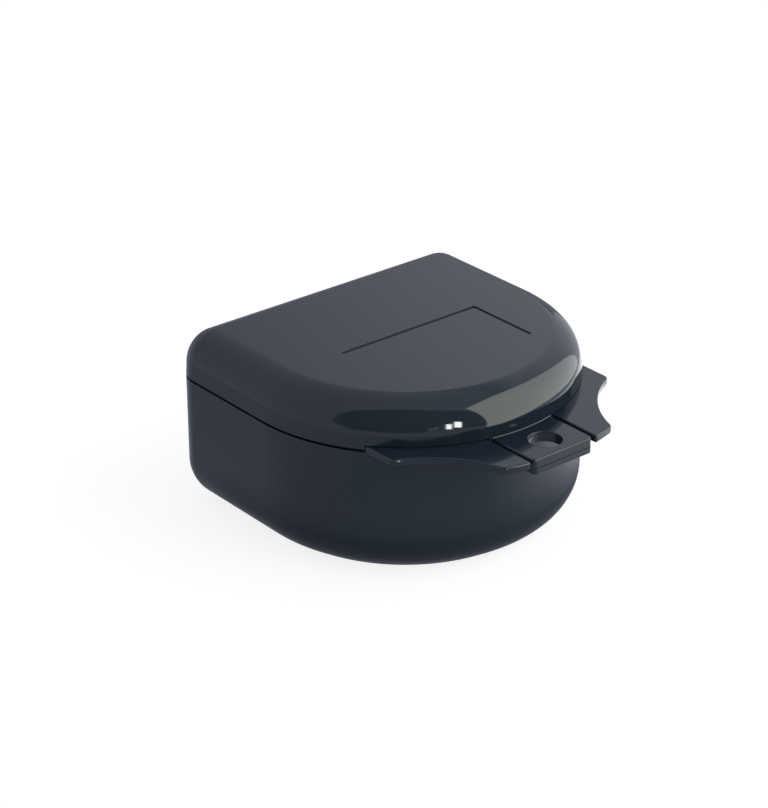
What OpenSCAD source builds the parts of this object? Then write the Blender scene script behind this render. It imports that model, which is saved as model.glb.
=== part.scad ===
// Dental appliance box: a D-shaped base and a lid that swings on two pinned hinges at the rear.
// Frame: x runs across the box, the bowed front faces -y, z is up. The origin is on the surface
// that the box stands on, under the middle of the D.

/* [Body] */
// Width across the flanks, which is also twice the radius of the bowed front
body_w = 80; // [76:0.5:90]
// Depth from the front of the bow to the rear wall
body_d = 73.4; // [68:0.2:86]
// Height of the base to its outer rim
base_h = 31.1; // [24:0.1:45]
// Height of the lid from its lower edge to its top
lid_h = 10.8; // [10.4:0.1:20]
// Radius of the two upright rear corners
corner_r = 7.4; // [7.3:0.1:12]
// Thickness of the side walls
wall = 2.2; // [2:0.05:2.5]
// Thickness of the floor of the base
floor_t = 2.4; // [1.6:0.1:4]
// Thickness of the top of the lid
top_t = 2; // [1.2:0.1:3]

/* [Rounded edges] */
// Radius of the round at the foot of the base
foot_r = 10.4; // [8:0.1:14]
// How far the round at the foot runs in before it ends at the plinth
foot_run = 7.1; // [4:0.1:7.2]
// Height of the low plinth that the box stands on, up to the end of the round
foot_lift = 0.5; // [0.3:0.05:0.6]
// Radius of the round at the top of the lid
crown_r = 7.8; // [7:0.1:9]
// How far the round at the top runs in before it meets the flat top
crown_run = 6.7; // [4:0.1:6.8]
// How far the skirt of the lid leans in between its lower edge and the round
skirt_lean = 0.45; // [0:0.05:0.5]
// Share of the wall's thickness that is left where it bends into the floor
foot_bend = 0.47; // [0.35:0.01:0.6]
// Share of the skirt's thickness that is left where it bends into the top
crown_bend = 0.78; // [0.5:0.01:0.85]

/* [Rim] */
// Gap between the rim of the base and the lower edge of the closed lid
seam_gap = 0.4; // [0.3:0.05:0.8]
// Thickness of the inner tongue that stands up inside the skirt of the lid
tongue_t = 0.8; // [0.6:0.05:0.9]
// Height of the tongue above the rim
tongue_h = 3.2; // [2.2:0.1:3.4]
// Clearance between the tongue and the skirt, beside it and above it
lap_gap = 0.3; // [0.25:0.05:0.4]

/* [Label panel] */
// Width of the shallow panel in the top of the lid
label_w = 38.6; // [20:0.1:50]
// Depth of the panel from front to rear
label_d = 18.9; // [8:0.1:24]
// How far the panel's middle lies behind the front of the bow
label_set = 29; // [24:0.1:36]
// How deep the panel is sunk
label_sink = 0.4; // [0.2:0.05:0.8]

/* [Pull tab] */
// Width of the pull tab on the lid
tab_w = 17; // [13:0.1:20]
// How far the tab stands out from the bow
tab_reach = 12.3; // [10:0.1:16]
// Thickness of the tab's plate
tab_t = 2.5; // [2.2:0.1:3]
// Height of the tab's top above the rim of the base
tab_rise = 1.4; // [1.3:0.05:1.8]
// Radius of the tab's two front corners
tab_corner_r = 1; // [0.5:0.1:3]
// Depth of the grip lip under the edge of the tab
lip_h = 1.05; // [0.5:0.05:3]
// Thickness of the grip lip
lip_t = 1.1; // [0.8:0.1:1.4]
// How far the lip is set in from the edge of the plate
lip_set = 0.15; // [0.05:0.05:0.6]
// Diameter of the lanyard hole
hole_d = 7.2; // [4:0.1:8]
// Distance from the tab's front edge to the middle of the hole
hole_edge = 5.9; // [4.8:0.1:6.4]

/* [Finger wings] */
// How far the wings on the base stand out from the bow
wing_reach = 13.1; // [10:0.1:15]
// Distance from the flank of the box in to the wing's outer edge
wing_inset = 8.6; // [6:0.1:11]
// Height of the wings' tops above the rim of the base
wing_rise = 1.4; // [1.2:0.05:1.5]
// Thickness of the wings
wing_t = 1.8; // [1.6:0.1:2.6]
// Gap between the pull tab and each wing
slot_w = 0.8; // [0.6:0.1:2]
// Radius of the finger scoop
scoop_r = 27.7; // [26:0.1:29]
// Distance from the wing's outer edge out to the middle of the scoop's arc
scoop_out = 10.6; // [9:0.1:12]
// Distance from the front of the bow forward to the middle of the scoop's arc
scoop_ahead = 18.8; // [17:0.1:20]
// Radius of the wing's rounded corners
wing_corner_r = 1.5; // [0.5:0.1:2]
// Gap between a wing and the notch in the skirt that clears it
notch_gap = 0.35; // [0.3:0.05:0.6]

/* [Hinges] */
// Distance from the middle of the box to the middle of each hinge
hinge_x = 20; // [10:0.5:23]
// Radius of the hinge knuckles
knuckle_r = 2.6; // [2.2:0.1:3.2]
// Gap between a knuckle and the rear wall
hinge_gap = 0.3; // [0.3:0.05:0.6]
// Length of the lid's barrel in each hinge
barrel_len = 8; // [4:0.5:12]
// Length of each of the two ears beside a barrel
ear_len = 3; // [2:0.5:4]
// End gap between a barrel and each ear
end_gap = 0.3; // [0.2:0.05:0.6]
// Diameter of the hinge pins
pin_d = 2; // [1.5:0.1:2.5]
// Radial clearance between a pin and the barrel that turns on it
pin_fit = 0.08; // [0.05:0.01:0.1]
// Radial clearance between a pin and the ears that hold it
pin_grip = 0.01; // [0.01:0.01:0.02]
// How far the ends of a pin lie below the faces of the ears
pin_sink = 0.2; // [0:0.1:0.5]
// Angle at which the open lid comes to rest on the heels of the ears
open_angle = 115; // [95:1:130]
// How far the web of each ear runs down the rear wall
web_h = 8.5; // [5:0.5:14]
// How far the rib of each barrel runs up the skirt
rib_h = 3; // [2.9:0.1:3.2]

/* [Hidden] */

// Smoothness of the true circles
$fn = 96;
// Steps along each rounded stretch of an outline
corner_steps = 8;
scoop_steps = 28;
front_steps = 6;

bow_r = body_w / 2;
front_y = -body_d / 2;
rear_y = body_d / 2;
// Middle of the bow's arc, and the line where the flanks turn into the rear corners
bow_y = front_y + bow_r;
corner_y = rear_y - corner_r;

lid_z = base_h + seam_gap;
top_z = lid_z + lid_h;
skirt_t = wall - tongue_t - lap_gap;
lap_top = base_h + tongue_h + lap_gap;

// Height of the truncated rounds at the foot and at the crown
foot_rise = hundredths(sqrt(foot_r * foot_r - pow(foot_r - foot_run, 2)));
crown_rise = hundredths(sqrt(crown_r * crown_r - pow(crown_r - crown_run, 2)));
// Rounds inside, along the floor and under the top
floor_round = inside_round(foot_r, wall, foot_r - foot_rise - foot_lift + floor_t, foot_bend);
top_round = inside_round(crown_r, wall - skirt_lean, crown_r - crown_rise + top_t, crown_bend);

tab_top = base_h + tab_rise;
tab_bottom = tab_top - tab_t;
tab_front = front_y - tab_reach;
// Clearance between the part of the tab below the seam and the wall of the base behind it
tab_gap = seam_gap;

wing_top = base_h + wing_rise;
wing_in = tab_w / 2 + slot_w;
wing_out = bow_r - wing_inset;
// Inner edge of the wings, halfway into the tongue, so that wing and wall are one piece
wing_root_r = bow_r - wall + tongue_t / 2;

axis_out = knuckle_r + hinge_gap;
hinge_y = rear_y + axis_out;
hinge_z = base_h + seam_gap / 2;
hinge_len = barrel_len + 2 * (end_gap + ear_len);
// How far webs and ribs are rooted in the wall behind them
root = skirt_t * 0.7;
// Directions of the corners where a web and a rib leave the knuckle
web_angle = -60;
rib_angle = 75;
// Spare length that carries a cutter past the face it cuts
past = 1;

black = "#23262b";
steel = "#a9adb3";

// A size to a hundredth of a millimetre, so that sizes added up from it meet their neighbours exactly
function hundredths(size) = round(100 * size) / 100;

// Point at distance r from c in direction a
function polar(c, r, a) = [c[0] + r * cos(a), c[1] + r * sin(a)];

// Direction from one point to another
function heading(from, to) = atan2(to[1] - from[1], to[0] - from[0]);

// Arc round c from direction a0 to a1
function arc(c, r, a0, a1, steps) = [for (i = [0:steps]) polar(c, r, a0 + (a1 - a0) * i / steps)];

// Where circles round p and q meet, on the left of the line from p to q
function meet(p, rp, q, rq) =
    let (d = norm(q - p), along = (d * d + rp * rp - rq * rq) / (2 * d))
    polar(p, rp, heading(p, q) + acos(along / rp));

// Radius inside a bend whose outer round is r, between walls that the round's own quarter circle would
// leave side and face thick. The bend keeps a share of the thinner one, and the rear corners limit it.
function inside_round(r, side, face, share) =
    let (left = share * min(side, face), a = side - left, b = face - left)
    min(hundredths(r - left - a - b - sqrt(2 * a * b)), corner_r - wall);

// What a round of radius r takes off a square corner, seen from the round's middle and carried past
// both faces of the corner
module corner_scrap(width, height, r) {
    difference() {
        translate([r - width, -height - past]) square([width + past, height + past]);
        circle(r);
    }
}

// Section through the wall, floor and tongue of the base, for a wall that stands reach from its axis
module base_section(reach) {
    difference() {
        union() {
            square([reach, base_h]);
            translate([reach - wall, 0]) square([tongue_t, base_h + tongue_h]);
        }
        translate([reach - foot_r, foot_lift + foot_rise])
            corner_scrap(foot_run, foot_lift + foot_rise, foot_r);
        difference() {
            translate([0, floor_t]) square([reach - wall, base_h + tongue_h]);
            translate([reach - wall - floor_round, floor_t + floor_round])
                corner_scrap(floor_round, floor_round, floor_round);
        }
    }
}

// Section through the skirt and top of the lid
module lid_section(reach) {
    shoulder_z = top_z - crown_rise;
    difference() {
        union() {
            polygon([[0, lid_z], [reach, lid_z], [reach - skirt_lean, shoulder_z], [0, shoulder_z]]);
            difference() {
                translate([0, shoulder_z]) square([reach - skirt_lean, crown_rise]);
                translate([reach - skirt_lean - crown_r, shoulder_z])
                    mirror([0, 1]) corner_scrap(crown_run, crown_rise, crown_r);
            }
        }
        translate([0, lid_z - past]) square([reach - skirt_t, lap_top - lid_z + past]);
        difference() {
            translate([0, lid_z]) square([reach - wall, lid_h - top_t]);
            translate([reach - wall - top_round, top_z - top_t - top_round])
                mirror([0, 1]) corner_scrap(top_round, top_round, top_round);
        }
    }
}

// Sweeps one of the two sections round the D: bow, flanks, rear corners and rear wall
module sweep(lid) {
    translate([0, bow_y, 0]) rotate([0, 0, 180]) rotate_extrude(angle = 180) section(lid, bow_r);
    translate([0, corner_y, 0]) rotate([90, 0, 0]) linear_extrude(corner_y - bow_y) {
        section(lid, bow_r);
        mirror([1, 0]) section(lid, bow_r);
    }
    for (side = [0, 1])
        mirror([side, 0, 0]) translate([bow_r - corner_r, corner_y, 0])
            rotate_extrude(angle = 90) section(lid, corner_r);
    translate([corner_r - bow_r, corner_y, 0]) rotate([90, 0, 90])
        linear_extrude(body_w - 2 * corner_r) section(lid, corner_r);
}

module section(lid, reach) {
    if (lid)
        lid_section(reach);
    else
        base_section(reach);
}

// Outline of the right wing, seen from above, about the middle of the bow's arc
module wing_outline() {
    centre = [0, 0];
    front_r = bow_r + wing_reach;
    scoop = [wing_out + scoop_out, -(bow_r + scoop_ahead)];
    tip = meet(scoop, scoop_r + wing_corner_r, centre, front_r - wing_corner_r);
    corner_x = wing_out - wing_corner_r;
    corner = [corner_x, scoop[1] + sqrt(pow(scoop_r + wing_corner_r, 2) - pow(scoop[0] - corner_x, 2))];
    tip_a = heading(centre, tip);
    difference() {
        polygon(concat(
            [[wing_in, 0]],
            arc(centre, front_r, -acos(wing_in / front_r), tip_a, front_steps),
            arc(tip, wing_corner_r, tip_a, heading(tip, scoop), corner_steps),
            arc(scoop, scoop_r, heading(scoop, tip), heading(scoop, corner), scoop_steps),
            arc(corner, wing_corner_r, heading(corner, scoop), 0, corner_steps),
            [[wing_out, 0]]));
        circle(wing_root_r);
    }
}

// Outline of the pull tab, drawn in by inset and carried back to the middle of the bow's arc
module tab_blank(inset) {
    half = tab_w / 2 - inset;
    front = tab_front + inset;
    r = tab_corner_r;
    polygon(concat(
        [[half, bow_y], [-half, bow_y]],
        arc([r - half, front + r], r, 180, 270, corner_steps),
        arc([half - r, front + r], r, 270, 360, corner_steps)));
}

// The same outline, cut off behind by a circle round the bow's middle
module tab_outline(inset, root_r) {
    difference() {
        tab_blank(inset);
        translate([0, bow_y]) circle(root_r);
    }
}

// Runs a shape drawn across the hinge axis along x, over a length, about the middle of a hinge
module along_hinge(middle, len) {
    translate([middle - len / 2, hinge_y, hinge_z]) rotate([90, 0, 90]) linear_extrude(len) children();
}

// Ear of the base: knuckle, the heel that the open lid comes to rest on, and the web below
module ear_outline() {
    circle(knuckle_r);
    rotate(90 - open_angle) square(knuckle_r);
    polygon([
        [-axis_out - root, -seam_gap / 2],
        [0, -seam_gap / 2],
        polar([0, 0], knuckle_r, web_angle),
        [-axis_out, -web_h],
        [-axis_out - root, -web_h]]);
}

// Barrel of the lid: knuckle and the rib that ties it to the skirt
module barrel_outline() {
    circle(knuckle_r);
    polygon([
        [-axis_out - root, seam_gap / 2],
        [0, seam_gap / 2],
        polar([0, 0], knuckle_r, rib_angle),
        [-axis_out - root, rib_h]]);
}

module base_shell() {
    ear_shift = (hinge_len - ear_len) / 2;
    color(black) difference() {
        union() {
            sweep(false);
            for (side = [0, 1])
                mirror([side, 0, 0]) translate([0, bow_y, wing_top - wing_t])
                    linear_extrude(wing_t) wing_outline();
            for (middle = [-hinge_x, hinge_x], shift = [-ear_shift, ear_shift])
                along_hinge(middle + shift, ear_len) ear_outline();
        }
        for (middle = [-hinge_x, hinge_x])
            along_hinge(middle, hinge_len + 2 * past) circle(pin_d / 2 + pin_grip);
    }
}

module lid_shell() {
    color(black) difference() {
        union() {
            difference() {
                sweep(true);
                wing_notches();
                label_panel();
            }
            pull_tab();
            for (middle = [-hinge_x, hinge_x])
                along_hinge(middle, barrel_len) barrel_outline();
        }
        translate([0, tab_front + hole_edge, tab_bottom - lip_h - past])
            cylinder(d = hole_d, h = tab_t + lip_h + 2 * past);
        for (middle = [-hinge_x, hinge_x])
            along_hinge(middle, barrel_len + 2 * past) circle(pin_d / 2 + pin_fit);
    }
}

// Steps in the lower edge of the skirt that let it close over the wings
module wing_notches() {
    inner = wing_in - notch_gap;
    for (side = [0, 1])
        mirror([side, 0, 0]) translate([inner, front_y - past, lid_z - past])
            cube([wing_out + notch_gap - inner, bow_r, wing_top + notch_gap - lid_z + past]);
}

module label_panel() {
    translate([-label_w / 2, front_y + label_set - label_d / 2, top_z - label_sink])
        cube([label_w, label_d, label_sink + past]);
}

// Plate, its part below the seam that stays clear of the base, and the grip lip under its edge
module pull_tab() {
    translate([0, 0, lid_z]) linear_extrude(tab_top - lid_z) tab_outline(0, bow_r - root);
    translate([0, 0, tab_bottom]) linear_extrude(lid_z - tab_bottom) tab_outline(0, bow_r + tab_gap);
    translate([0, 0, tab_bottom - lip_h]) linear_extrude(lip_h) difference() {
        tab_outline(lip_set, bow_r + tab_gap);
        tab_blank(lip_set + lip_t);
    }
}

module hinge_pin(middle) {
    color(steel) along_hinge(middle, hinge_len - 2 * pin_sink) circle(pin_d / 2);
}

module left_hinge_pin() {
    hinge_pin(-hinge_x);
}

module right_hinge_pin() {
    hinge_pin(hinge_x);
}

base_shell();
lid_shell();
left_hinge_pin();
right_hinge_pin();
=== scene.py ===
import logging
import math
from collections.abc import Callable
from dataclasses import dataclass, field
from enum import Enum

import bmesh
import bpy
from mathutils import Matrix, Quaternion, Vector


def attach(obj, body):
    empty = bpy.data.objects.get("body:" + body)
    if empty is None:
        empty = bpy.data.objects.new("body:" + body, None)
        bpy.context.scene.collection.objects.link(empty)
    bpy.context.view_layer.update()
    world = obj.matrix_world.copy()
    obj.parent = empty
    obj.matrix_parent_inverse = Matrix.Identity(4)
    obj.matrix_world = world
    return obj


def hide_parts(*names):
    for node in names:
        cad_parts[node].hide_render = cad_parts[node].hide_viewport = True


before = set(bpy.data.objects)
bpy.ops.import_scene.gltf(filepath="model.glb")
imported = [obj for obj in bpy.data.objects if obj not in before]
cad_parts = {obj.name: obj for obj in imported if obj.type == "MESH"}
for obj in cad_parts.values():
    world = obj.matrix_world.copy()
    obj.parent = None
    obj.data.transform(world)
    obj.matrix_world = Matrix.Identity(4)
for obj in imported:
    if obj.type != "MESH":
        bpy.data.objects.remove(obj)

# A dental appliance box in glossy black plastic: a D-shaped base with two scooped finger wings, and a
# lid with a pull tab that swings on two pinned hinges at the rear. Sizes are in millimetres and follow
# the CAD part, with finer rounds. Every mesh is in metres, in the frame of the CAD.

log = logging.getLogger("appliance_box")

Piece = bpy.types.Object
Material = bpy.types.Material
Tree = bpy.types.NodeTree
Socket = bpy.types.NodeSocket
Node = bpy.types.Node
Edge = bmesh.types.BMEdge
EdgeTest = Callable[[Edge], bool]
Pair = tuple[float, float]
Triple = tuple[float, float, float]
Blank = tuple[Material, Tree, Node]

MM = 0.001
X_AXIS = Vector((1, 0, 0))
Y_AXIS = Vector((0, 1, 0))
Z_AXIS = Vector((0, 0, 1))
CENTRE = Vector((0, 0))
# Points nearer to each other than this, in metres, are one point: in an outline, a spun one, a swept one
SAME_POINT = 1e-7
SPUN_POINT = 1e-6
SWEPT_POINT = 5e-6
# Slack in finding an edge by its place, and how far a cutter reaches past what it cuts, in millimetres
SLACK = 0.01
CLEAR = 2.0
# Edges that turn more than this are rims
RIM = math.radians(60)


class Join(Enum):
    """How one solid acts on another."""

    ADD = "UNION"
    CUT = "DIFFERENCE"


class Side(Enum):
    """Side of the box, as the sign of x."""

    LEFT = -1
    RIGHT = 1


@dataclass(frozen=True)
class Round:
    """Corner of an outline: where it is, and the radius that rounds it."""

    u: float
    v: float
    radius: float = 0.0
    steps: int = 4


def polar(centre: Vector, radius: float, degrees: float) -> Vector:
    """Gives the point at a distance from a centre, in a direction from the first axis of the plane."""
    turn = math.radians(degrees)
    return centre + Vector((math.cos(turn), math.sin(turn))) * radius


def heading(start: Vector, end: Vector) -> float:
    """Gives the direction from one point to another, in degrees."""
    step = end - start
    return math.degrees(math.atan2(step.y, step.x))


def meeting(p: Vector, p_radius: float, q: Vector, q_radius: float) -> Vector:
    """Finds where two circles meet, on the left of the line from the first to the second.

    Args:
        p: Middle of the first circle.
        p_radius: Its radius.
        q: Middle of the second circle.
        q_radius: Its radius.

    Returns:
        The point where they meet.
    """
    apart = (q - p).length
    along = (apart**2 + p_radius**2 - q_radius**2) / (2 * apart)
    return polar(p, p_radius, heading(p, q) + math.degrees(math.acos(along / p_radius)))


def nothing_selected() -> None:
    """Leaves edit mode and deselects every object."""
    if bpy.context.object and bpy.context.object.mode != "OBJECT":
        bpy.ops.object.mode_set(mode="OBJECT")
    bpy.ops.object.select_all(action="DESELECT")


def take(piece: Piece) -> None:
    """Makes a piece the only selected one and the active one.

    Args:
        piece: The piece to work on.
    """
    nothing_selected()
    piece.select_set(True)
    bpy.context.view_layer.objects.active = piece


def edit(piece: Piece) -> None:
    """Takes a piece into edit mode, alone."""
    take(piece)
    bpy.ops.object.mode_set(mode="EDIT")


def leave_edit() -> None:
    """Goes back from edit mode to object mode."""
    bpy.ops.object.mode_set(mode="OBJECT")


def pick_edges(piece: Piece, wanted: EdgeTest) -> int:
    """Selects, in edit mode, the edges that a test wants.

    Args:
        piece: The piece in edit mode.
        wanted: Says whether an edge is taken.

    Returns:
        How many edges were selected.
    """
    bpy.ops.mesh.select_mode(type="EDGE")
    bpy.ops.mesh.select_all(action="DESELECT")
    mesh = bmesh.from_edit_mesh(piece.data)
    count = 0
    for edge in mesh.edges:
        if wanted(edge):
            edge.select = True
            count += 1
    mesh.select_flush_mode()
    bmesh.update_edit_mesh(piece.data)
    return count


def both_ends(edge: Edge, test: Callable[[Vector], bool]) -> bool:
    """Says whether both ends of an edge pass a test on their place in millimetres."""
    return all(test(vert.co / MM) for vert in edge.verts)


def at_height(edge: Edge, height: float, slack: float = SLACK) -> bool:
    """Says whether an edge lies at a height in millimetres."""
    return both_ends(edge, lambda at: abs(at.z - height) < slack)


def is_level(edge: Edge) -> bool:
    """Says whether both ends of an edge are equally high."""
    return abs(edge.verts[0].co.z - edge.verts[1].co.z) < SPUN_POINT


def weld(distance: float) -> None:
    """Merges, in edit mode, all points that are nearer to each other than a distance in metres."""
    bpy.ops.mesh.select_all(action="SELECT")
    bpy.ops.mesh.remove_doubles(threshold=distance)


def fill() -> None:
    """Fills, in edit mode, the outline that all edges make with one face."""
    bpy.ops.mesh.select_all(action="SELECT")
    bpy.ops.mesh.edge_face_add()


def face_out() -> None:
    """Turns, in edit mode, all faces outwards."""
    bpy.ops.mesh.select_all(action="SELECT")
    bpy.ops.mesh.normals_make_consistent(inside=False)


def added(name: str) -> Piece:
    """Names the object that was just added and moves its place and size into its mesh.

    Args:
        name: Name of the object and its mesh.

    Returns:
        The object.
    """
    piece = bpy.context.object
    piece.name = name
    piece.data.name = name
    bpy.ops.object.transform_apply(location=True, rotation=True, scale=True)
    return piece


def bevel(piece: Piece, wanted: EdgeTest, size: float, segments: int = 3) -> None:
    """Rounds the edges that a test wants.

    Args:
        piece: The piece to work on.
        wanted: Says whether an edge is rounded.
        size: Width of the round, in millimetres.
        segments: Faces across the round.
    """
    edit(piece)
    if pick_edges(piece, wanted):
        bpy.ops.mesh.bevel(offset=size * MM, segments=segments, affect="EDGES", clamp_overlap=True)
    else:
        log.warning("%s: no edge to round", piece.name)
    leave_edit()


def join(piece: Piece, tool: Piece, how: Join) -> None:
    """Adds a solid to a piece or cuts it out, and removes the solid.

    Args:
        piece: The piece that is changed.
        tool: The solid that is added or cut out.
        how: Whether it is added or cut out.
    """
    take(piece)
    modifier = piece.modifiers.new(name=how.name, type="BOOLEAN")
    modifier.operation = how.value
    modifier.solver = "EXACT"
    modifier.object = tool
    bpy.ops.object.modifier_apply(modifier=modifier.name)
    bpy.data.objects.remove(tool)


def smooth(piece: Piece, degrees: float = 35.0) -> None:
    """Shades a piece smooth and keeps its flat faces flat.

    Args:
        piece: The finished piece.
        degrees: Edges that turn more than this stay sharp.
    """
    take(piece)
    bpy.ops.object.shade_smooth_by_angle(angle=math.radians(degrees))
    modifier = piece.modifiers.new(name="even_shading", type="WEIGHTED_NORMAL")
    modifier.keep_sharp = True
    modifier.weight = 100
    bpy.ops.object.modifier_apply(modifier=modifier.name)


class Pen:
    """Draws a chain of edges as by hand: a point, then extruded lines and spun arcs.

    The chain lies in a plane through an origin, spanned by two axes. Places are in millimetres along
    these axes.
    """

    # Length of the short edges that hold the ends of a straight run, so that shading stays even
    HOLD = 0.12

    def __init__(self, name: str, origin: Vector, across: Vector, up: Vector,
                 start: Pair | Vector) -> None:
        """Puts down the first point.

        Args:
            name: Name of the new piece.
            origin: Origin of the plane, in millimetres.
            across: First axis of the plane.
            up: Second axis of the plane.
            start: Place of the first point.
        """
        self.origin = origin
        self.across = across
        self.up = up
        self.axis = across.cross(up)
        self.at = Vector(start)
        nothing_selected()
        bpy.ops.mesh.primitive_plane_add(size=MM, location=self.place(self.at))
        self.piece = added(name)
        bpy.ops.object.mode_set(mode="EDIT")
        bpy.ops.mesh.select_mode(type="VERT")
        bpy.ops.mesh.select_all(action="SELECT")
        bpy.ops.mesh.merge(type="CENTER")

    def place(self, at: Vector) -> Vector:
        """Gives the place of a point of the plane, in metres."""
        return (self.origin + self.across * at.x + self.up * at.y) * MM

    def line(self, *points: Pair | Vector) -> None:
        """Extrudes the last point to one place after another.

        Args:
            points: The places in order.
        """
        for point in points:
            end = Vector(point)
            step = self.place(end) - self.place(self.at)
            if step.length < SAME_POINT:
                continue
            bpy.ops.mesh.extrude_vertices_move(TRANSFORM_OT_translate={"value": step})
            self.at = end

    def arc(self, centre: Pair | Vector, degrees: float, steps: int) -> None:
        """Spins the last point round a centre.

        Args:
            centre: Middle of the arc.
            degrees: How far it turns, from the first axis towards the second.
            steps: Edges in the arc.
        """
        middle = Vector(centre)
        bpy.ops.mesh.spin(steps=steps, angle=-math.radians(degrees), center=self.place(middle),
                          axis=self.axis)
        self.at = middle + Matrix.Rotation(math.radians(degrees), 2) @ (self.at - middle)

    def path(self, *corners: Round) -> None:
        """Draws lines through corners and rounds each one, up to the last, where the path ends.

        Args:
            corners: The corners in order.
        """
        for corner, after in zip(corners, corners[1:]):
            turn_point = Vector((corner.u, corner.v))
            back = (self.at - turn_point).normalized()
            on = (Vector((after.u, after.v)) - turn_point).normalized()
            if not corner.radius:
                self.line(turn_point)
                continue
            half = math.acos(max(-1.0, min(1.0, back.dot(on)))) / 2
            reach = corner.radius / math.tan(half)
            start = turn_point + back * reach
            centre = turn_point + (back + on).normalized() * (corner.radius / math.sin(half))
            turn = math.degrees(math.pi - 2 * half)
            if back.x * on.y - back.y * on.x > 0:
                turn = -turn
            length = (self.at - start).length
            if length > 3 * self.HOLD:
                self.line(self.at - back * self.HOLD, start + back * self.HOLD)
            self.line(start)
            self.arc(centre, turn, corner.steps)
        last = Vector((corners[-1].u, corners[-1].v))
        ahead = (last - self.at).normalized()
        if (last - self.at).length > 3 * self.HOLD:
            self.line(self.at + ahead * self.HOLD)
        self.line(last)

    def turn(self, y: float, steps: int) -> None:
        """Turns the whole chain once about an upright axis at a place on the middle plane.

        Args:
            y: Place of the axis, in millimetres.
            steps: Faces round it.
        """
        bpy.ops.mesh.select_all(action="SELECT")
        Plan.spin(0, y, 360, steps)
        weld(SPUN_POINT)

    def finish(self) -> Piece:
        """Leaves edit mode and gives the chain."""
        leave_edit()
        return self.piece

    def solid(self, direction: Vector, thickness: float) -> Piece:
        """Closes the chain, fills it and extrudes it into a solid.

        Args:
            direction: Direction of the extrusion.
            thickness: Its length.

        Returns:
            The solid.
        """
        weld(SAME_POINT)
        fill()
        bpy.ops.mesh.extrude_region_move(TRANSFORM_OT_translate={"value": direction * thickness * MM})
        face_out()
        return self.finish()


@dataclass(frozen=True)
class Plan:
    """Plan of the D that base and lid share."""

    bow_r: float = 40.0
    bow_y: float = 3.3
    corner_r: float = 7.4
    corner_y: float = 29.3
    wall: float = 2.2
    edge: float = 0.18
    fillet: float = 0.15
    cap_in: float = 0.4
    bow_steps: int = 180
    corner_steps: int = 20
    inner_steps: int = 12

    @property
    def corner_x(self) -> float:
        """Distance from the middle to the axes of the rear corners."""
        return self.bow_r - self.corner_r

    @property
    def inner_r(self) -> float:
        """Distance from the bow's axis to the inner side of the wall."""
        return self.bow_r - self.wall

    @property
    def cap_r(self) -> float:
        """Distance from the bow's axis at which floor and ceiling go over into their caps."""
        return self.bow_r - self.corner_r + self.cap_in

    def pen(self, name: str, reach: float, height: float) -> Pen:
        """Starts a section through the left flank, drawn by distance from the bow's axis and height."""
        return Pen(name, Vector((0, self.bow_y, 0)), -X_AXIS, Z_AXIS, (reach, height))

    def radius(self, at: Vector) -> float:
        """Gives how far a point in millimetres lies from the bow's axis."""
        return math.hypot(at.x, at.y - self.bow_y)

    def sweep(self, piece: Piece) -> None:
        """Sweeps a section round the D and closes the ring.

        Args:
            piece: The section, a chain of edges at the left flank.
        """
        edit(piece)
        bpy.ops.mesh.select_all(action="SELECT")
        self.spin(0.0, self.bow_y, 180, self.bow_steps)
        self.run(0, self.corner_y - self.bow_y)
        self.spin(self.corner_x, self.corner_y, 90, self.corner_steps)
        self.run(-2 * self.corner_x, 0)
        self.spin(-self.corner_x, self.corner_y, 90, self.corner_steps)
        self.run(0, self.bow_y - self.corner_y)
        weld(SWEPT_POINT)
        face_out()
        leave_edit()

    @staticmethod
    def spin(x: float, y: float, degrees: float, steps: int) -> None:
        """Spins the selected section about an upright axis."""
        bpy.ops.mesh.spin(steps=steps, angle=-math.radians(degrees), center=(x * MM, y * MM, 0),
                          axis=Z_AXIS)

    @staticmethod
    def run(x: float, y: float) -> None:
        """Extrudes the selected section straight on."""
        bpy.ops.mesh.extrude_region_move(TRANSFORM_OT_translate={"value": (x * MM, y * MM, 0)})

    def cap(self, piece: Piece, height: float, margin: float = 0.25) -> None:
        """Fills the open loop at a height with a flat face that has a narrow border.

        Args:
            piece: The swept piece.
            height: Height of the loop.
            margin: Width of the border, which keeps the shading of the flat face even.
        """
        edit(piece)
        pick_edges(piece, lambda edge: edge.is_boundary and at_height(edge, height))
        bpy.ops.mesh.edge_face_add()
        bpy.ops.mesh.inset(thickness=margin * MM, depth=0)
        face_out()
        leave_edit()


@dataclass(frozen=True)
class Stop:
    """Linear colour of a fade at one place."""

    at: float
    colour: Triple


def srgb(code: str) -> tuple[float, float, float, float]:
    """Turns an sRGB hex colour into a linear one.

    Args:
        code: The colour as #rrggbb.

    Returns:
        Red, green, blue and alpha.
    """
    parts = [int(code[i:i + 2], 16) / 255 for i in (1, 3, 5)]
    linear = [v / 12.92 if v <= 0.04045 else ((v + 0.055) / 1.055) ** 2.4 for v in parts]
    return (linear[0], linear[1], linear[2], 1.0)


def blank(name: str) -> Blank:
    """Starts a material.

    Args:
        name: Name of the material.

    Returns:
        The material, its node tree and its shader.
    """
    material = bpy.data.materials.new(name)
    material.use_nodes = True
    return material, material.node_tree, material.node_tree.nodes["Principled BSDF"]


def add_node(tree: Tree, kind: str, values: dict[str, object] | None = None,
             links: dict[str, Socket] | None = None) -> Node:
    """Adds a node with its settings and links.

    Args:
        tree: The node tree.
        kind: The node's type, without the words that all types start with.
        values: Values of its input sockets, by name.
        links: Sockets that feed its inputs, by name.

    Returns:
        The node.
    """
    node = tree.nodes.new(f"ShaderNode{kind}")
    for name, value in (values or {}).items():
        node.inputs[name].default_value = value
    for name, source in (links or {}).items():
        tree.links.new(source, node.inputs[name])
    return node


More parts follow.
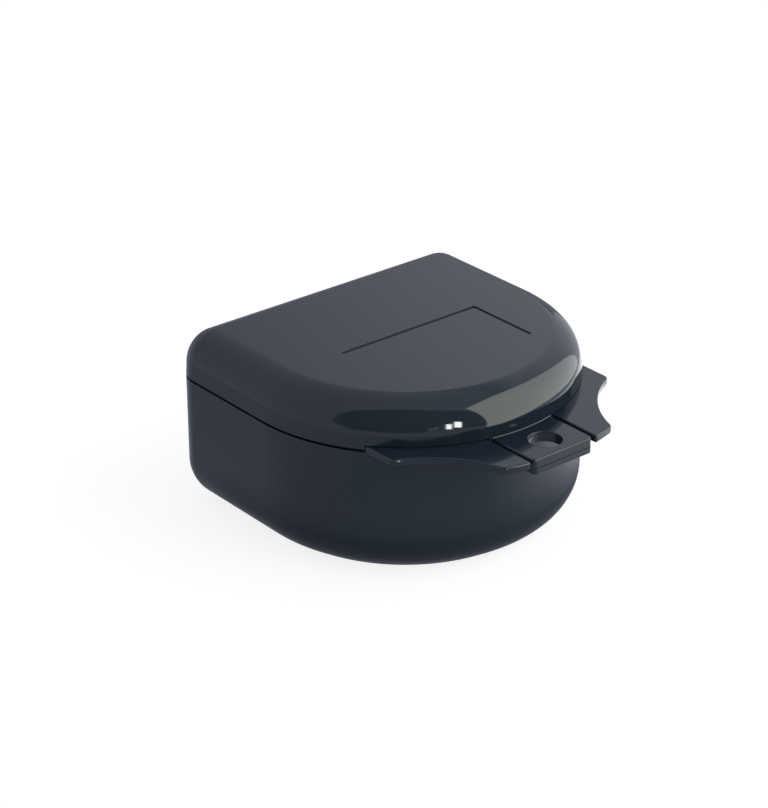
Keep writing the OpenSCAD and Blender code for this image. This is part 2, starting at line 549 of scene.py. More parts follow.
def fade(tree: Tree, along: Socket, stops: tuple[Stop, ...], into: Socket) -> None:
    """Feeds a socket with a colour that changes along a place.

    Args:
        tree: The node tree.
        along: The place.
        stops: Two or more stops in rising order.
        into: The socket that takes the colour.
    """
    low, high = stops[0].at, stops[-1].at
    share = add_node(tree, "MapRange", {"From Min": low, "From Max": high}, {"Value": along})
    ramp = add_node(tree, "ValToRGB", None, {"Fac": share.outputs["Result"]})
    elements = ramp.color_ramp.elements
    elements[0].color = (*stops[0].colour, 1.0)
    elements[1].color = (*stops[-1].colour, 1.0)
    for stop in stops[1:-1]:
        elements.new((stop.at - low) / (high - low)).color = (*stop.colour, 1.0)
    tree.links.new(ramp.outputs["Color"], into)


def paper(name: str, tone: float) -> Blank:
    """Makes matt paper.

    Args:
        name: Name of the material.
        tone: Its grey value.

    Returns:
        The material, its node tree and its shader.
    """
    material, tree, shader = blank(name)
    shader.inputs["Base Color"].default_value = (tone, tone, tone, 1.0)
    shader.inputs["Roughness"].default_value = 1.0
    shader.inputs["Specular IOR Level"].default_value = 0.0
    return material, tree, shader


@dataclass(frozen=True)
class MouldedBlack:
    """Black plastic as it comes out of the mould, with its polish.

    Attributes:
        name: Name of the material.
        colour: sRGB hex colour of the plastic under its reflections.
        roughness: Blur of the reflections.
        haze: How much handling and mould wear change the roughness.
        haze_size: Size of its blotches, in millimetres.
        grain: Strength of the fine grain.
        grain_size: Size of the grain, in millimetres.
    """

    name: str
    colour: str = "#1d262f"
    roughness: float = 0.05
    haze: float = 0.03
    haze_size: float = 9.0
    grain: float = 0.02
    grain_size: float = 0.35

    def make(self) -> Material:
        """Builds the material.

        Returns:
            The material.
        """
        material, tree, shader = blank(self.name)
        shader.inputs["IOR"].default_value = 1.49
        shader.inputs["Base Color"].default_value = srgb(self.colour)
        where = add_node(tree, "TexCoord").outputs["Object"]
        # Blotches of haze a centimetre or so across, as release agent and fingers leave on polish
        blotch = add_node(tree, "TexNoise",
                          {"Scale": 1 / (self.haze_size * MM), "Detail": 4.0, "Roughness": 0.6},
                          {"Vector": where})
        spread = add_node(tree, "MapRange", {"From Min": 0.35, "From Max": 0.7, "To Min": self.roughness,
                                             "To Max": self.roughness + self.haze},
                          {"Value": blotch.outputs["Fac"]})
        tree.links.new(spread.outputs["Result"], shader.inputs["Roughness"])
        # Grain of the mould's surface, coarser than the true 0.05 mm, which can't show here
        grain = add_node(tree, "TexNoise", {"Scale": 1 / (self.grain_size * MM), "Detail": 2.0},
                         {"Vector": where})
        bump = add_node(tree, "Bump", {"Strength": self.grain, "Distance": 0.05 * MM},
                        {"Height": grain.outputs["Fac"]})
        tree.links.new(bump.outputs["Normal"], shader.inputs["Normal"])
        return material


@dataclass(frozen=True)
class DrawnSteel:
    """Steel wire as it is drawn for hinge pins: bright, with fine lines along its length.

    Attributes:
        name: Name of the material.
        colour: sRGB hex colour of the steel.
        roughness: Blur of the reflections.
        line_gap: Distance from one drawing line to the next, in millimetres.
    """

    name: str = "drawn_steel"
    colour: str = "#a9adb3"
    roughness: float = 0.28
    line_gap: float = 0.08

    def make(self) -> Material:
        """Builds the material.

        Returns:
            The material.
        """
        material, tree, shader = blank(self.name)
        shader.inputs["Metallic"].default_value = 1.0
        shader.inputs["Base Color"].default_value = srgb(self.colour)
        where = add_node(tree, "TexCoord").outputs["Object"]
        along = add_node(tree, "Mapping", {"Scale": (0.05, 1.0, 1.0)}, {"Vector": where})
        # Drawing lines round the pin, stretched along it
        lines = add_node(tree, "TexNoise", {"Scale": 1 / (self.line_gap * MM), "Detail": 3.0},
                         {"Vector": along.outputs["Vector"]})
        spread = add_node(tree, "MapRange",
                          {"To Min": self.roughness - 0.08, "To Max": self.roughness + 0.1},
                          {"Value": lines.outputs["Fac"]})
        tree.links.new(spread.outputs["Result"], shader.inputs["Roughness"])
        bump = add_node(tree, "Bump", {"Strength": 0.2, "Distance": 0.01 * MM},
                        {"Height": lines.outputs["Fac"]})
        tree.links.new(bump.outputs["Normal"], shader.inputs["Normal"])
        return material


@dataclass
class Hinge:
    """The two pinned hinges that lid and base share; angles turn about the axis, from the rear upwards."""

    middle: float = 20.0
    y: float = 39.6
    z: float = 31.3
    knuckle_r: float = 2.6
    axis_out: float = 2.9
    root: float = 0.77
    barrel_len: float = 8.0
    ear_len: float = 3.0
    end_gap: float = 0.3
    half_seam: float = 0.2
    web_h: float = 8.5
    rib_h: float = 3.0
    open_angle: float = 115.0
    web_angle: float = -60.0
    rib_angle: float = 75.0
    pin_r: float = 1.0
    pin_len: float = 14.2
    edge: float = 0.2

    def middles(self) -> Pair:
        """Gives the middle of each hinge along x."""
        return (-self.middle, self.middle)

    def ear_middles(self) -> list[float]:
        """Gives the middle of each ear along x."""
        shift = (self.barrel_len + 2 * self.end_gap + self.ear_len) / 2
        return [middle + step for middle in self.middles() for step in (-shift, shift)]

    @property
    def root_y(self) -> float:
        """Place of the root inside the wall, rearwards from the hinge's axis."""
        return -self.axis_out - self.root

    def pen(self, name: str, x: float, rim: float) -> tuple[Pen, float]:
        """Draws the edge of an ear or barrel at the seam, from inside the wall to its round.

        Args:
            name: Name of the new piece.
            x: Place of the outline along the axis.
            rim: Height of the edge over the axis.

        Returns:
            The pen, and the direction from the axis at which it stands.
        """
        meets = math.degrees(math.atan2(rim, -math.sqrt(self.knuckle_r**2 - rim**2))) % 360
        pen = Pen(name, Vector((x, self.y, self.z)), Y_AXIS, Z_AXIS, (self.root_y, rim))
        pen.line(polar(CENTRE, self.knuckle_r, meets))
        return pen, meets

    def ear(self, middle: float) -> Piece:
        """Builds one ear of the base, with the heel that the open lid comes to rest on.

        Args:
            middle: Middle of the ear along x.

        Returns:
            The ear.
        """
        slope = 90 - self.open_angle
        pen, meets = self.pen("ear", middle - self.ear_len / 2, -self.half_seam)
        pen.arc(CENTRE, slope + 90 - meets, steps=18)
        heel = polar(CENTRE, self.knuckle_r * math.sqrt(2), slope + 45)
        pen.line(heel, polar(CENTRE, self.knuckle_r, slope))
        pen.arc(CENTRE, self.web_angle - slope, steps=5)
        pen.line((-self.axis_out, -self.web_h), (self.root_y, -self.web_h))
        return pen.solid(X_AXIS, self.ear_len)

    def barrel(self, middle: float) -> Piece:
        """Builds one barrel of the lid, with the rib that ties it to the skirt.

        Args:
            middle: Middle of the barrel along x.

        Returns:
            The barrel.
        """
        pen, meets = self.pen("barrel", middle - self.barrel_len / 2, self.half_seam)
        pen.arc(CENTRE, self.rib_angle + 360 - meets, steps=36)
        pen.line((self.root_y, self.rib_h))
        return pen.solid(X_AXIS, self.barrel_len)

    def bore(self, middle: float, radius: float, length: float) -> Piece:
        """Builds a rod on the hinge's axis, by its middle along x, radius and length."""
        nothing_selected()
        bpy.ops.mesh.primitive_cylinder_add(vertices=48, radius=radius * MM, depth=length * MM,
                                            location=(middle * MM, self.y * MM, self.z * MM),
                                            rotation=(0, math.pi / 2, 0))
        return added("rod")

    def outer_edge(self, edge: Edge) -> bool:
        """Says whether an edge of an ear or barrel is a sharp one clear of the wall behind."""
        return (len(edge.link_faces) == 2 and edge.calc_face_angle(0.0) > math.radians(30)
                and both_ends(edge, lambda at: at.y > self.y - self.axis_out - SLACK))


@dataclass
class BaseShell:
    """Base moulding: walls, floor, tongue, finger wings and hinge ears."""

    plan: Plan
    hinge: Hinge
    height: float = 31.02
    floor_t: float = 2.4
    floor_round: float = 4.98
    foot_r: float = 10.4
    foot_rise: float = 9.86
    foot_lift: float = 0.5
    foot_ring: float = 0.2
    foot_cap_in: float = 0.06
    tongue_t: float = 0.8
    tongue_h: float = 3.2
    wing_reach: float = 13.1
    wing_in: float = 9.3
    wing_out: float = 31.4
    wing_t: float = 1.8
    wing_top: float = 32.5
    wing_edge: float = 0.4
    scoop_r: float = 27.7
    scoop_out: float = 10.6
    scoop_ahead: float = 18.8
    wing_corner_r: float = 1.5
    wing_slot_r: float = 0.5
    stub_r: float = 0.9
    stub_z: float = 0.15
    gate_in: float = 1.5
    gate_out: float = 3.2
    gate_depth: float = 0.45
    gate_round: float = 0.2
    pin_grip: float = 0.01
    piece: Piece = field(init=False)

    def build(self) -> Piece:
        """Builds the whole moulding.

        Returns:
            The finished piece.
        """
        self.piece = self.shell()
        self.gate_mark()
        for side in Side:
            join(self.piece, self.wing(side), Join.ADD)
        for middle in self.hinge.ear_middles():
            ear = self.hinge.ear(middle)
            bevel(ear, self.hinge.outer_edge, self.hinge.edge)
            join(self.piece, ear, Join.ADD)
        for middle in self.hinge.middles():
            length = 2 * self.hinge.barrel_len
            join(self.piece, self.hinge.bore(middle, self.hinge.pin_r + self.pin_grip, length), Join.CUT)
        smooth(self.piece)
        return self.piece

    def shell(self) -> Piece:
        """Sweeps the wall, tongue and floor and closes them.

        Returns:
            The shell.
        """
        plan = self.plan
        centre = (plan.bow_r - self.foot_r, self.foot_lift + self.foot_rise)
        run = math.sqrt(self.foot_r**2 - self.foot_rise**2)
        plinth = centre[0] + run
        pen = plan.pen("base", plinth - self.foot_ring, 0.0)
        pen.path(Round(plinth, 0.0, plan.fillet), Round(plinth, self.foot_lift))
        pen.arc(centre, math.degrees(math.atan2(self.foot_rise, run)), steps=18)
        outer = plan.inner_r + self.tongue_t
        crest = self.height + self.tongue_h
        pen.path(
            Round(plan.bow_r, self.height, plan.edge),
            Round(outer, self.height, plan.fillet),
            Round(outer, crest, plan.edge),
            Round(plan.inner_r, crest, plan.edge),
            Round(plan.inner_r, self.floor_t, self.floor_round, plan.inner_steps),
            Round(plan.cap_r, self.floor_t),
        )
        shell = pen.finish()
        plan.sweep(shell)
        plan.cap(shell, 0.0, self.foot_cap_in)
        plan.cap(shell, self.floor_t)
        return shell

    def gate_mark(self) -> None:
        """Sinks the round gate mark into the underside, with the stub of the sprue in its middle."""
        low = -CLEAR / 2
        pen = Pen("gate_mark", Vector((0, self.plan.bow_y, 0)), X_AXIS, Z_AXIS, (self.stub_r, low))
        pen.path(
            Round(self.stub_r, self.stub_z, self.gate_round / 2),
            Round(self.gate_in, self.gate_depth, self.gate_round),
            Round(self.gate_out, self.gate_depth, self.gate_round),
            Round(self.gate_out + 1.5 * self.gate_round, low),
        )
        pen.turn(self.plan.bow_y, steps=48)
        pick_edges(pen.piece, lambda edge: edge.is_boundary)
        bpy.ops.mesh.bridge_edge_loops()
        face_out()
        join(self.piece, pen.finish(), Join.CUT)

    def wing(self, side: Side) -> Piece:
        """Builds one finger wing, drawn on the right and mirrored for the left.

        Args:
            side: Side of the box.

        Returns:
            The wing, with its edges rounded.
        """
        plan = self.plan
        front_r = plan.bow_r + self.wing_reach
        scoop = Vector((self.wing_out + self.scoop_out, -(plan.bow_r + self.scoop_ahead)))
        tip_r = self.wing_corner_r
        tip = meeting(scoop, self.scoop_r + tip_r, CENTRE, front_r - tip_r)
        corner_x = self.wing_out - tip_r
        corner_y = scoop.y + math.sqrt((self.scoop_r + tip_r) ** 2 - (scoop.x - corner_x) ** 2)
        corner = Vector((corner_x, corner_y))
        tip_a = heading(CENTRE, tip)
        root_r = plan.inner_r + self.tongue_t / 2
        slot = Vector((self.wing_in + self.wing_slot_r, 0))
        slot.y = -math.sqrt((front_r - self.wing_slot_r) ** 2 - slot.x**2)
        start, end = [Vector((x, -math.sqrt(root_r**2 - x**2))) for x in (self.wing_in, self.wing_out)]
        pen = Pen("wing", Vector((0, plan.bow_y, self.wing_top - self.wing_t)), X_AXIS, Y_AXIS, start)
        pen.line((self.wing_in, slot.y))
        pen.arc(slot, 180 + heading(CENTRE, slot), steps=5)
        pen.arc(CENTRE, tip_a - heading(CENTRE, slot), steps=12)
        pen.arc(tip, heading(tip, scoop) - tip_a, steps=6)
        pen.arc(scoop, heading(scoop, corner) - heading(scoop, tip), steps=40)
        pen.arc(corner, -heading(corner, scoop), steps=8)
        pen.line(end)
        pen.arc(CENTRE, heading(CENTRE, start) - heading(CENTRE, end), steps=24)
        wing = pen.solid(Z_AXIS, self.wing_t)
        bevel(wing, lambda edge: is_level(edge) and max(plan.radius(vert.co / MM) for vert in edge.verts)
              > root_r + 2 * SLACK, self.wing_edge)
        if side is Side.LEFT:
            mirror(wing)
        return wing


def mirror(piece: Piece) -> None:
    """Mirrors a piece from the right of the box to the left.

    Args:
        piece: The piece.
    """
    edit(piece)
    bpy.ops.mesh.select_all(action="SELECT")
    bpy.ops.transform.mirror(constraint_axis=(True, False, False), orient_type="GLOBAL",
                             center_override=(0, 0, 0))
    face_out()
    leave_edit()


def block(name: str, low: Triple, high: Triple) -> Piece:
    """Builds a block between two corners, as a cutter.

    Args:
        name: Name of the block.
        low: Its lowest corner, in millimetres.
        high: Its highest corner.

    Returns:
        The block.
    """
    nothing_selected()
    size = Vector(high) - Vector(low)
    bpy.ops.mesh.primitive_cube_add(size=1, location=(Vector(low) + size / 2) * MM, scale=size * MM)
    return added(name)


@dataclass
class LidShell:
    """Lid moulding: top, skirt, sunk panel, pull tab and hinge barrels."""

    plan: Plan
    hinge: Hinge
    low_z: float = 31.56
    top_z: float = 42.3
    top_t: float = 2.0
    top_round: float = 4.59
    crown_r: float = 8.2
    crown_rise: float = 8.08
    skirt_lean: float = 0.17
    skirt_t: float = 1.1
    lap_top: float = 34.6
    lap_fillet: float = 0.1
    label_x: float = 19.4
    label_front: float = -17.5
    label_rear: float = 1.9
    label_sink: float = 0.3
    label_corner: float = 0.35
    label_fillet: float = 0.1
    label_rim: float = 0.06
    notch_in: float = 9.12
    notch_out: float = 31.58
    notch_top: float = 32.7
    notch_y: Pair = (-42.0, -10.0)
    notch_round: float = 0.25
    tab_half: float = 8.5
    tab_front: float = -49.0
    tab_top: float = 32.5
    tab_low: float = 30.0
    tab_root_r: float = 38.4
    tab_clear_r: float = 40.4
    tab_clear_z: float = 0.1
    tab_corner_r: float = 1.0
    tab_edge: float = 0.35
    lip_h: float = 1.05
    lip_t: float = 1.1
    lip_set: float = 0.15
    lip_rear: float = -36.5
    lip_round: float = 0.2
    ledge_z: float = 30.3
    ledge_round: float = 0.12
    hole_y: float = -43.1
    hole_r: float = 3.6
    hole_edge: float = 0.25
    blend_r: float = 0.25
    blend_half: int = 12
    blend_in: float = 0.3
    pin_fit: float = 0.08
    piece: Piece = field(init=False)

    def build(self) -> Piece:
        """Builds the whole moulding.

        Returns:
            The finished piece.
        """
        self.piece = self.shell()
        self.notches()
        self.panel()
        join(self.piece, self.tab(), Join.ADD)
        join(self.piece, self.blend(), Join.ADD)
        self.hole()
        for middle in self.hinge.middles():
            barrel = self.hinge.barrel(middle)
            bevel(barrel, self.hinge.outer_edge, self.hinge.edge)
            join(self.piece, barrel, Join.ADD)
        for middle in self.hinge.middles():
            length = self.hinge.barrel_len + 2 * CLEAR
            join(self.piece, self.hinge.bore(middle, self.hinge.pin_r + self.pin_fit, length), Join.CUT)
        smooth(self.piece)
        return self.piece

    def shell(self) -> Piece:
        """Sweeps the crown, skirt and top and closes them.

        Returns:
            The shell.
        """
        plan = self.plan
        shoulder = self.top_z - self.crown_rise
        centre = (plan.bow_r - self.skirt_lean - self.crown_r, shoulder)
        run = math.sqrt(self.crown_r**2 - self.crown_rise**2)
        pen = plan.pen("lid", centre[0] + run, self.top_z)
        pen.arc(centre, -math.degrees(math.atan2(self.crown_rise, run)), steps=24)
        skirt_r = plan.bow_r - self.skirt_t
        ceiling = self.top_z - self.top_t
        pen.path(
            Round(plan.bow_r, self.low_z, plan.edge),
            Round(skirt_r, self.low_z, plan.fillet),
            Round(skirt_r, self.lap_top, self.lap_fillet),
            Round(plan.inner_r, self.lap_top, plan.fillet),
            Round(plan.inner_r, ceiling, self.top_round, plan.inner_steps),
            Round(plan.cap_r, ceiling),
        )
        shell = pen.finish()
        plan.sweep(shell)
        plan.cap(shell, self.top_z)
        plan.cap(shell, ceiling)
        return shell

    def notches(self) -> None:
        """Cuts the steps in the lower edge of the skirt that clear the finger wings."""
        front, rear = self.notch_y
        for side in Side:
            ends = sorted((side.value * self.notch_in, side.value * self.notch_out))
            cutter = block("notch", (ends[0], front, self.low_z - CLEAR), (ends[1], rear, self.notch_top))
            bevel(cutter, lambda edge: at_height(edge, self.notch_top)
                  and abs(edge.verts[0].co.x - edge.verts[1].co.x) < SPUN_POINT, self.notch_round)
            join(self.piece, cutter, Join.CUT)

    def panel(self) -> None:
        """Sinks the bare panel into the top, with small rounds along its floor and rim."""
        floor_z = self.top_z - self.label_sink
        cutter = block("panel", (-self.label_x, self.label_front, floor_z),
                       (self.label_x, self.label_rear, self.top_z + CLEAR))
        bevel(cutter, lambda edge: not is_level(edge), self.label_corner)
        bevel(cutter, lambda edge: at_height(edge, floor_z), self.label_fillet, 2)
        join(self.piece, cutter, Join.CUT)
        bevel(self.piece, lambda edge: at_height(edge, self.top_z, SLACK / 10)
              and edge.calc_face_angle(0.0) > RIM, self.label_rim, 2)

    def tab_pen(self, name: str, height: float, side_in: float, front_in: float, rear_y: float) -> Pen:
        """Draws the tab's three free sides, from the left rear round to the right rear.

        Args:
            name: Name of the new piece.
            height: Height of the outline.
            side_in: How far its sides are drawn in.
            front_in: How far its front is drawn in.
            rear_y: Where its sides start and end.

        Returns:
            The pen, at the right rear.
        """
        half = self.tab_half - side_in
        front = self.tab_front + front_in
        pen = Pen(name, Vector((0, 0, height)), X_AXIS, Y_AXIS, (-half, rear_y))
        pen.path(Round(-half, front, self.tab_corner_r, 8), Round(half, front, self.tab_corner_r, 8),
                 Round(half, rear_y))
        return pen

    def tab(self) -> Piece:
        """Builds the pull tab: a plate with a grip lip under its edge, clear of the base.

        Returns:
            The tab.
        """
        root_y = self.plan.bow_y - self.tab_root_r
        outline = self.tab_pen("tab", self.tab_low, 0, self.lip_set, root_y)
        plate = outline.solid(Z_AXIS, self.tab_top - self.tab_low)
        bevel(plate, lambda edge: is_level(edge) and not both_ends(edge, lambda at: at.y > root_y - SLACK),
              self.tab_edge)
        lip_z = self.tab_low - self.lip_h
        outline = self.tab_pen("lip", lip_z, self.lip_set, 0, self.lip_rear)
        inner = self.tab_half - self.lip_set - self.lip_t
        front = self.tab_front + self.lip_t
        outline.path(Round(inner, self.lip_rear), Round(inner, front, self.tab_corner_r, 8),
                     Round(-inner, front, self.tab_corner_r, 8), Round(-inner, self.lip_rear))
        lip = outline.solid(Z_AXIS, self.ledge_z - lip_z)
        bevel(lip, lambda edge: at_height(edge, self.ledge_z)
              and both_ends(edge, lambda at: at.y < self.tab_front + 5 * SLACK), self.ledge_round)
        bevel(lip, lambda edge: at_height(edge, lip_z), self.lip_round)
        join(plate, lip, Join.ADD)
        nothing_selected()
        middle = Vector((0, self.plan.bow_y, self.low_z + self.tab_clear_z - CLEAR)) * MM
        bpy.ops.mesh.primitive_cylinder_add(vertices=360, radius=self.tab_clear_r * MM,
                                            depth=2 * CLEAR * MM, location=middle)
        join(plate, added("clear"), Join.CUT)
        return plate

    def blend(self) -> Piece:
        """Builds the hollow round that blends the top of the tab into the skirt.

        Returns:
            The solid that fills the corner.
        """
        plan = self.plan
        lean = self.skirt_lean / (self.top_z - self.crown_rise - self.low_z)
        corner = plan.bow_r - lean * (self.tab_top - self.low_z)
        half = (math.pi / 2 + math.atan(lean)) / 2
        reach = self.blend_r / math.tan(half)
        rise = reach * math.cos(math.atan(lean))
        turn = math.radians(self.blend_half)
        across = Vector((-math.sin(turn), -math.cos(turn), 0))
        inside = plan.bow_r - self.skirt_t + self.blend_in
        pen = Pen("blend", Vector((0, plan.bow_y, 0)), across, Z_AXIS,
                  (corner + reach, self.tab_top - self.blend_in))
        pen.path(Round(corner + reach, self.tab_top), Round(corner, self.tab_top, self.blend_r, 6),
                 Round(corner - lean * rise, self.tab_top + rise))
        pen.line((inside, self.tab_top + rise), (inside, self.tab_top - self.blend_in))
        fill()
        plan.spin(0, plan.bow_y, 2 * self.blend_half, 2 * self.blend_half)
        face_out()
        return pen.finish()

    def hole(self) -> None:
        """Bores the lanyard hole with a spun cutter that rounds both of its rims."""
        wide = self.hole_r + self.hole_edge
        ends = (self.tab_low - CLEAR, self.tab_top + CLEAR)
        pen = Pen("hole", Vector((0, self.hole_y, 0)), X_AXIS, Z_AXIS, (wide, ends[0]))
        pen.line((wide, self.tab_low))
        pen.arc((wide, self.tab_low + self.hole_edge), -90, steps=5)
        pen.line((self.hole_r, self.tab_top - self.hole_edge))
        pen.arc((wide, self.tab_top - self.hole_edge), -90, steps=5)
        pen.line((wide, ends[1]))
        pen.turn(self.hole_y, steps=96)
        for height in ends:
            pick_edges(pen.piece, lambda edge: edge.is_boundary and at_height(edge, height))
            bpy.ops.mesh.edge_face_add()
        face_out()
        join(self.piece, pen.finish(), Join.CUT)


@dataclass
class HingePin:
    """Steel pin of one hinge, with its ends chamfered."""

    hinge: Hinge
    side: Side
    chamfer: float = 0.25

    def build(self) -> Piece:
        """Builds the pin.

        Returns:
            The finished piece.
        """
        pin = self.hinge.bore(self.side.value * self.hinge.middle, self.hinge.pin_r, self.hinge.pin_len)
        pin.name = f"{self.side.name.lower()}_pin"
        pin.data.name = pin.name
        bevel(pin, lambda edge: edge.calc_face_angle(0.0) > RIM, self.chamfer, 2)
        smooth(pin)
        return pin


def bearing(azimuth: float, elevation: float) -> Vector:
    """Gives the direction at an azimuth from the front, towards the right, and an elevation."""
    a, e = math.radians(azimuth), math.radians(elevation)
    return Vector((math.sin(a) * math.cos(e), -math.cos(a) * math.cos(e), math.sin(e)))


@dataclass(frozen=True)
class Sheet:
    """Flat sheet that shines or darkens the reflections, given by the bearings of its corners.

    Attributes:
        name: Name of the sheet.
        corners: Azimuth and elevation of each corner, seen from the box.
        light: Light that it gives off, where 1 is white.
        distance: Distance of its middle in metres.
        lights_object: Whether it lights matt surfaces too.
        rear_light: Light at its rear end, where that differs.
        turns_at: Rearward part of the bearing, as a unit vector's, at which its light starts to change, and
            at which it is the rear light.
    """

    name: str
    corners: tuple[Pair, ...]
    light: Triple
    distance: float = 3.0
    lights_object: bool = False
    rear_light: Triple | None = None
    turns_at: Pair = (-0.55, 0.12)

    def build(self) -> Piece:
        """Builds the sheet, square to the bearing of its middle.

        Returns:
            The sheet.
        """
        rays = [bearing(*corner) for corner in self.corners]
        middle = sum(rays, Vector()).normalized()
        across = Z_AXIS.cross(middle).normalized()
        pen = Pen(self.name, middle * (self.distance / MM), across, middle.cross(across),
                  self.spot(rays[0], middle, across))
        for ray in rays[1:]:
            pen.line(self.spot(ray, middle, across))
        fill()
        sheet = pen.finish()
        sheet.visible_camera = False
        sheet.visible_shadow = False
        sheet.visible_transmission = False
        sheet.visible_diffuse = self.lights_object
        sheet.data.materials.append(self.finish())
        return sheet

    def spot(self, ray: Vector, middle: Vector, across: Vector) -> Vector:
        """Gives where a ray from the box meets the plane of the sheet, in millimetres of that plane."""
        hit = ray * (self.distance / MM / ray.dot(middle))
        return Vector((hit.dot(across), hit.dot(middle.cross(across))))

    def finish(self) -> Material:
        """Makes the glow of the sheet, which only the first reflection of a ray sees.

        Returns:
            The material.
        """
        material, tree, _ = blank(self.name)
        ray = add_node(tree, "LightPath")
        first = add_node(tree, "Math", {1: 1.5}, {0: ray.outputs["Glossy Depth"]})
        first.operation = "LESS_THAN"
        glow = add_node(tree, "Emission", {"Color": (*self.light, 1.0)},
                        {"Strength": first.outputs["Value"]})
        tree.links.new(glow.outputs["Emission"], tree.nodes["Material Output"].inputs["Surface"])
        if self.rear_light:
            where = add_node(tree, "TexCoord").outputs["Object"]
            ray_in = add_node(tree, "VectorMath", None, {0: where})
            ray_in.operation = "NORMALIZE"
            parts = add_node(tree, "SeparateXYZ", None, {"Vector": ray_in.outputs["Vector"]})
            starts, ends = self.turns_at
            fade(tree, parts.outputs["Y"], (Stop(starts, self.light), Stop(ends, self.rear_light)),
                 glow.inputs["Color"])
        return material


@dataclass
class Studio:
    """Camera, sheets, room and floor."""

    eye: Triple = (-333.8, -393.3, 282.3)
    azimuth: float = -39.573
    elevation: float = 26.577
    roll: float = -0.08
    lens: float = 114.07
    walls: tuple[Stop, ...] = (
        Stop(0.40, (0.55, 0.56, 0.65)), Stop(0.53, (0.43, 0.44, 0.49)), Stop(0.57, (0.55, 0.56, 0.63)),
        Stop(0.625, (0.74, 0.75, 0.81)))
    floor_size: float = 6.0
    table_r: float = 0.16
    table_tone: float = 0.35
    # Painted light on the table top: its glow fades out as painted shade within these distances of the box,
    # and brightens towards the window
    painted_shade_r: float = 0.045
    painted_light_r: float = 0.065
    table_painted_light: tuple[Stop, ...] = (
        Stop(-0.14, (0.28, 0.30, 0.34)), Stop(-0.075, (0.18, 0.20, 0.24)), Stop(0.0, (0.23, 0.26, 0.31)),
        Stop(0.045, (0.75, 0.76, 0.80)), Stop(0.085, (1.6, 1.6, 1.6)))
    floor_tone: float = 0.8
    seen_tone: float = 0.24
    seen_lift: float = 0.84
    sheets: tuple[Sheet, ...] = (
        Sheet("window", ((10.3, 50.4), (30.1, 56), (54.4, 57), (67.3, 52.9), (75.7, 47.8), (87.4, 34.5),
                         (96.3, 14.4), (99.7, 3.9), (102, -2.8), (102.8, -8.6), (100.4, -11.3),
                         (85.7, -9.7), (67.3, -7.2), (51.4, -6.7), (35, -9.7), (20.5, -12.7),
                         (10.7, -10.8), (9.9, 19)),
              (3.15, 3.2, 2.8), 3.2, True, (2.0, 2.0, 2.0)),
        Sheet("rear_cloth", ((124, 13), (178, 13), (178, -24), (124, -24)), (0.30, 0.31, 0.34), 2.0),
        Sheet("dark_cloth", ((-84.3, 9), (-85, 35.3), (-78.7, 55.4), (-43.3, 67.8), (-15, 62), (8.3, 45.1),
                             (9.7, 30.9), (10.4, 12.8), (11.1, -5.6), (-4.6, -0.4), (-17.1, 2), (-35.7, -2),
                             (-54, -2), (-72.7, -2)), (0.13, 0.14, 0.15)),
        Sheet("lamp_1", ((-14.4, 17.1), (-11.2, 15.2), (-11.9, 1.3), (-15.2, 3.1)), (24, 24, 24), 2.6),
        Sheet("lamp_2", ((-8.7, 21.2), (-4.6, 17.6), (-5.8, 2.4), (-10.1, 5.7)), (24, 24, 24), 2.6),
        Sheet("lamp_3", ((-25.6, 8), (-19.6, 12.5), (-19.8, 5), (-25.9, 0.8)), (0.9, 0.9, 0.9), 2.6),
    )

    def build(self) -> None:
        """Builds everything round the object."""
        self.camera()
        self.room()
        self.floor()
        [sheet.build() for sheet in self.sheets]
        bpy.context.scene.view_settings.view_transform = "Standard"

    def camera(self) -> None:
        """Sets the camera at the photograph's angle."""
        data = bpy.data.cameras.new("camera")
        data.lens = self.lens
        data.sensor_width = 36.0
        data.clip_end = 20.0
        camera = bpy.data.objects.new("camera", data)
        bpy.context.scene.collection.objects.link(camera)
        back = bearing(self.azimuth, self.elevation)
        right = Z_AXIS.cross(back).normalized()
        turn = Matrix((right, back.cross(right), back)).transposed().to_quaternion()
        camera.rotation_mode = "QUATERNION"
        camera.rotation_quaternion = turn @ Quaternion(Z_AXIS, math.radians(self.roll))
        camera.location = Vector(self.eye) * MM
        bpy.context.scene.camera = camera

    def room(self) -> None:
        """Surrounds the scene with a pale room, brighter on the right, that the camera sees as white."""
        world = bpy.data.worlds.new("room")
        world.use_nodes = True
        tree = world.node_tree
        where = add_node(tree, "TexCoord").outputs["Generated"]
        parts = add_node(tree, "SeparateXYZ", None, {"Vector": where})
        room = tree.nodes["Background"]
        fade(tree, parts.outputs["X"], self.walls, room.inputs["Color"])
        white = add_node(tree, "Background", {"Color": (1, 1, 1, 1), "Strength": 1.0})
        ray = add_node(tree, "LightPath")
        mix = add_node(tree, "MixShader", None, {"Fac": ray.outputs["Is Camera Ray"]})
        tree.links.new(room.outputs["Background"], mix.inputs[1])
        tree.links.new(white.outputs["Background"], mix.inputs[2])
        tree.links.new(mix.outputs["Shader"], tree.nodes["World Output"].inputs["Surface"])
        bpy.context.scene.world = world

    def floor(self) -> None:
        """Lays the pale floor, and the table top with painted light that shows only in reflections."""
        nothing_selected()
        bpy.ops.mesh.primitive_plane_add(size=self.floor_size, location=(0, 0, 0))
        floor = bpy.context.object
        floor.name = "floor"
        floor.visible_glossy = False
        floor.data.materials.append(self.floor_paper())
        bpy.ops.mesh.primitive_circle_add(vertices=96, radius=self.table_r, fill_type="NGON",
                                          location=(0, 0, 0))
        table = bpy.context.object
        table.name = "table_top"
        table.visible_camera = False
        table.visible_diffuse = False
        table.visible_shadow = False
        table.data.materials.append(self.table_paper())

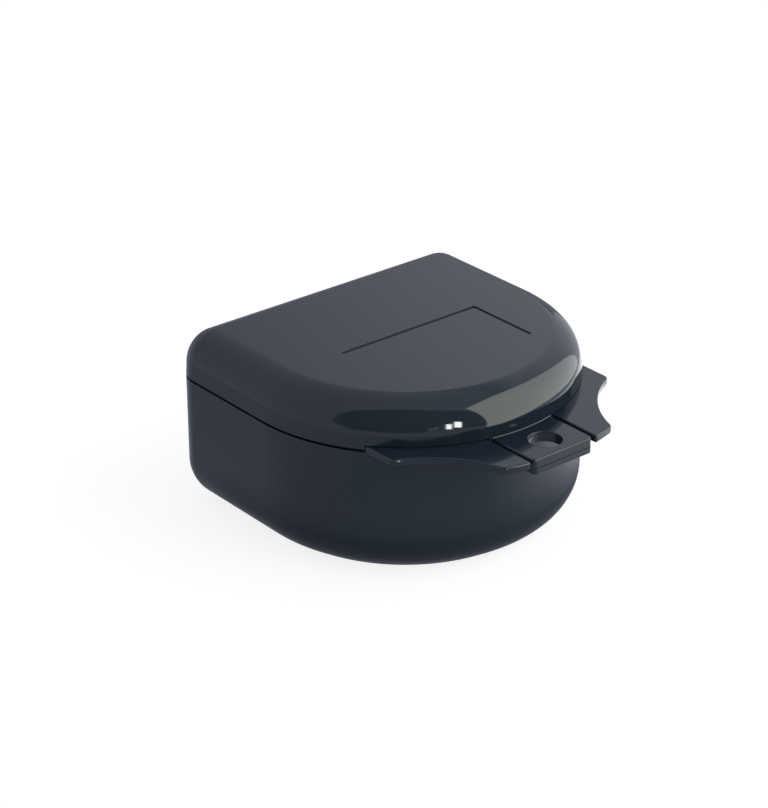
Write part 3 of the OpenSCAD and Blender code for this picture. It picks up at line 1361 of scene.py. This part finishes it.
    def floor_paper(self) -> Material:
        """Makes matt white paper, which the camera sees lifted to white with a faint shadow.

        Returns:
            The material.
        """
        material, tree, shader = paper("pale_paper", self.floor_tone)
        ray = add_node(tree, "LightPath").outputs["Is Camera Ray"]
        tone = add_node(tree, "MapRange", {"To Min": self.floor_tone, "To Max": self.seen_tone},
                        {"Value": ray})
        tree.links.new(tone.outputs["Result"], shader.inputs["Base Color"])
        lift = add_node(tree, "Math", {1: self.seen_lift}, {0: ray})
        lift.operation = "MULTIPLY"
        shader.inputs["Emission Color"].default_value = (1, 1, 1, 1)
        tree.links.new(lift.outputs["Value"], shader.inputs["Emission Strength"])
        return material

    def table_paper(self) -> Material:
        """Makes the table top, whose painted light glows clear of the box, and more towards the window;
        close to the box it fades out as painted shade.

        Returns:
            The material.
        """
        material, tree, shader = paper("table_paper", self.table_tone)
        where = add_node(tree, "TexCoord").outputs["Object"]
        parts = add_node(tree, "SeparateXYZ", None, {"Vector": where})
        # Painted light: the glow's colour brightens towards the window on the right
        fade(tree, parts.outputs["X"], self.table_painted_light, shader.inputs["Emission Color"])
        # Painted shade: the glow fades out close to the box
        out = add_node(tree, "VectorMath", None, {0: where})
        out.operation = "LENGTH"
        clear = add_node(tree, "MapRange",
                         {"From Min": self.painted_shade_r, "From Max": self.painted_light_r},
                         {"Value": out.outputs["Value"]})
        tree.links.new(clear.outputs["Result"], shader.inputs["Emission Strength"])
        return material


def dress(piece: Piece, material: Material, body: str, node: str) -> None:
    """Gives a finished piece its material, body, node and slot.

    Args:
        piece: The finished piece.
        material: Its material.
        body: The CAD body that it moves with.
        node: The CAD node that it stands for.
    """
    piece.data.materials.clear()
    piece.data.materials.append(material)
    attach(piece, body)
    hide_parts(node)
    log.info("%s rides on %s with %d faces", piece.name, body, len(piece.data.polygons))


def main() -> None:
    """Builds the box and its surroundings, in order."""
    logging.basicConfig(level=logging.INFO, format="%(message)s")
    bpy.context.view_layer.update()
    plan = Plan()
    hinge = Hinge()
    polished = MouldedBlack("polished_black_plastic").make()
    steel = DrawnSteel().make()
    dress(BaseShell(plan, hinge).build(), polished, "base", "base_shell")
    dress(LidShell(plan, hinge).build(), polished, "lid", "lid_shell")
    for side in Side:
        pin = HingePin(hinge, side).build()
        dress(pin, steel, "base", f"{side.name.lower()}_hinge_pin")
    Studio().build()


if __name__ == "__main__":
    main()
